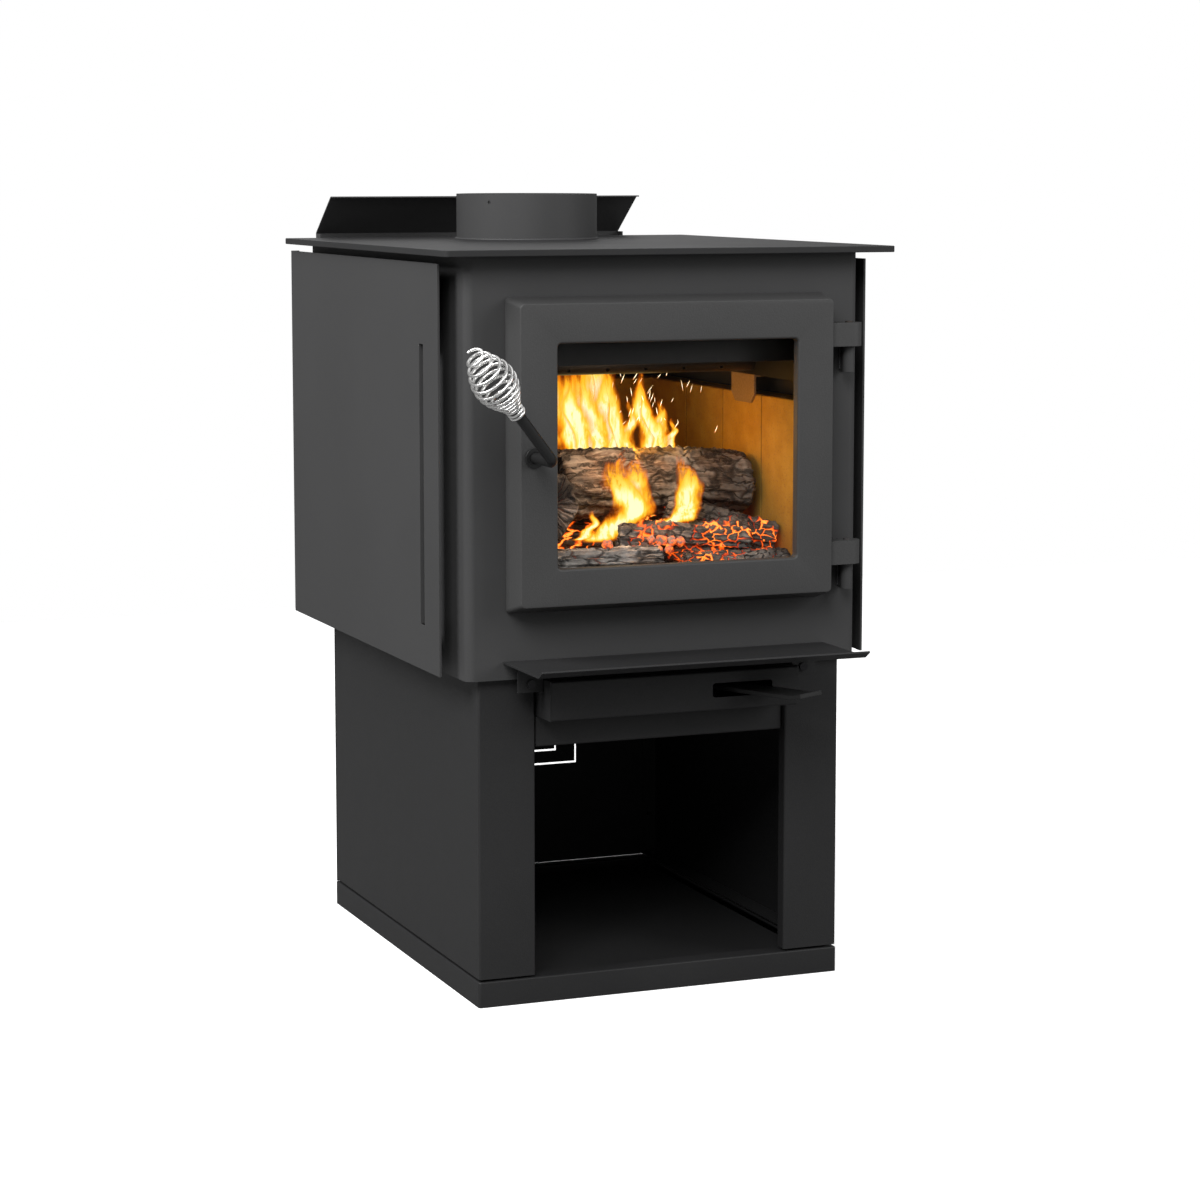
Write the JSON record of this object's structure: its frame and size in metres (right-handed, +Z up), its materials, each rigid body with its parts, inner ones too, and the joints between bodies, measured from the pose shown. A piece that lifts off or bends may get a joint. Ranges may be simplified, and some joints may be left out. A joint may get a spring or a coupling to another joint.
{
  "type": "wood burning stove",
  "caption": "Freestanding wood stove on a closed pedestal with a wood store, glazed hinged door with spring handle, air lever, heat shields and a flue collar.",
  "frame": {"origin": "centre of the underside of the base tray, on the floor", "axes": "+Z up, the door faces -Y, the hinges are on +X"},
  "size_m": [0.5074, 0.7469, 0.8187],
  "materials": {
    "stove_paint": "matte high-temperature black paint, slightly charcoal",
    "pedestal_paint": "matte black paint on folded sheet",
    "cast_paint": "matte charcoal paint on cast iron",
    "lever_black": "satin black painted bar",
    "screw_black": "black oxide screws",
    "bright_wire": "bright nickel plated spring wire",
    "firebrick": "porous buff firebrick",
    "glass": "clear ceramic glass",
    "rope": "grey braided glass-fibre rope",
    "steel_raw": "heat-blued raw steel",
    "fibre_board": "pale refractory fibre board"
  },
  "bodies": {
    "stove": {"base_tray": "pedestal_paint", "floor_plate": "pedestal_paint", "pedestal_washers": "screw_black", "pedestal_floor_screws": "screw_black", "pedestal_left": "pedestal_paint", "pedestal_right": "pedestal_paint", "pedestal_back": "pedestal_paint", "pedestal_back_screws": "screw_black", "cross_panel": "pedestal_paint", "cross_panel_screws": "screw_black", "firebox_wrap": "stove_paint", "firebox_floor": "stove_paint", "firebox_back": "stove_paint", "top_plate": "stove_paint", "flue_collar": "stove_paint", "side_shield_left": "stove_paint", "side_shield_right": "stove_paint", "side_shield_brackets": "stove_paint", "bracket_screws": "screw_black", "rear_shield": "stove_paint", "rear_shield_brackets": "stove_paint", "rear_shield_screws": "screw_black", "ash_lip": "stove_paint", "ash_lip_screws": "screw_black", "air_control_box": "pedestal_paint", "pivot_bush": "steel_raw", "floor_bricks": "firebrick", "wall_bricks_left": "firebrick", "wall_bricks_right": "firebrick", "rear_bricks": "firebrick", "brick_retainers": "steel_raw", "rear_air_duct": "steel_raw", "air_manifold_left": "steel_raw", "air_manifold_right": "steel_raw", "burn_tubes": "steel_raw", "baffle_boards": "fibre_board", "baffle_blanket": "fibre_board", "airwash_deflector": "steel_raw", "pilot_air_hood": "steel_raw", "hinge_barrel_lower": "stove_paint", "hinge_barrel_upper": "stove_paint", "hinge_pins": "steel_raw", "latch_keeper": "steel_raw"},
    "door": {"door_frame": "cast_paint", "door_glass": "glass", "glass_gasket": "rope", "glass_retainers": "steel_raw", "glass_retainer_screws": "screw_black", "door_rope_gasket": "rope", "hinge_lug_lower": "cast_paint", "hinge_lug_upper": "cast_paint", "handle_escutcheon": "lever_black"},
    "handle": {"handle_rod": "lever_black", "handle_grip": "bright_wire", "latch_finger": "steel_raw", "latch_nut": "steel_raw"},
    "air_control": {"air_pivot": "steel_raw", "air_lever": "lever_black", "damper_plate": "steel_raw"}
  },
  "joints": [
    {"name": "door_hinge", "type": "hinge", "parent": "stove", "child": "door", "pos_m": [0.1975, -0.27, 0.565], "axis": [0, 0, 1], "range_deg": [0, 120]},
    {"name": "handle_turn", "type": "hinge", "parent": "door", "child": "handle", "pos_m": [-0.1559, -0.29, 0.5637], "axis": [0, -1, 0], "range_deg": [0, 90]},
    {"name": "air_lever_swing", "type": "hinge", "parent": "stove", "child": "air_control", "pos_m": [0.0594, -0.2296, 0.316], "axis": [0, 0, 1], "range_deg": [-27, 0]}
  ]
}
